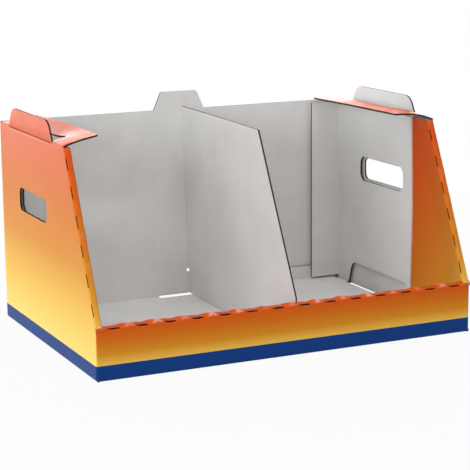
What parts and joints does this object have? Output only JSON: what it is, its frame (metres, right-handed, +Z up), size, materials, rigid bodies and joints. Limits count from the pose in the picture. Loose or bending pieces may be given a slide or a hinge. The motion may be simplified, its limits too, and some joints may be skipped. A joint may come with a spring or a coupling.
{
  "type": "display box",
  "caption": "Open-fronted cardboard counter display box with slanted sides, rolled-over rims, hand holes, stacking tabs, hinged top flaps and a floor-padded divider.",
  "frame": {"origin": "centre of the floor's underside", "axes": "+X to the right seen from the open front, +Y to the back wall, +Z up"},
  "size_m": [0.4, 0.273, 0.228],
  "materials": {
    "printed_board": "varnished print outside, plain grey-white inside",
    "printed_flap": "varnished print on top, plain grey-white below",
    "plain_board": "unprinted matt grey-white board"
  },
  "bodies": {
    "tray": {"tray": "printed_board", "left_liner": "plain_board", "right_liner": "plain_board", "divider": "plain_board"},
    "left_flap": {"left_top_flap": "printed_flap"},
    "right_flap": {"right_top_flap": "printed_flap"}
  },
  "joints": [
    {"name": "left_flap_fold", "type": "hinge", "parent": "tray", "child": "left_flap", "pos_m": [-0.1991, 0, 0.2076], "axis": [0, -1, 0], "range_deg": [-5, 84]},
    {"name": "right_flap_fold", "type": "hinge", "parent": "tray", "child": "right_flap", "pos_m": [0.1991, 0, 0.2076], "axis": [0, 1, 0], "range_deg": [-5, 84]}
  ]
}
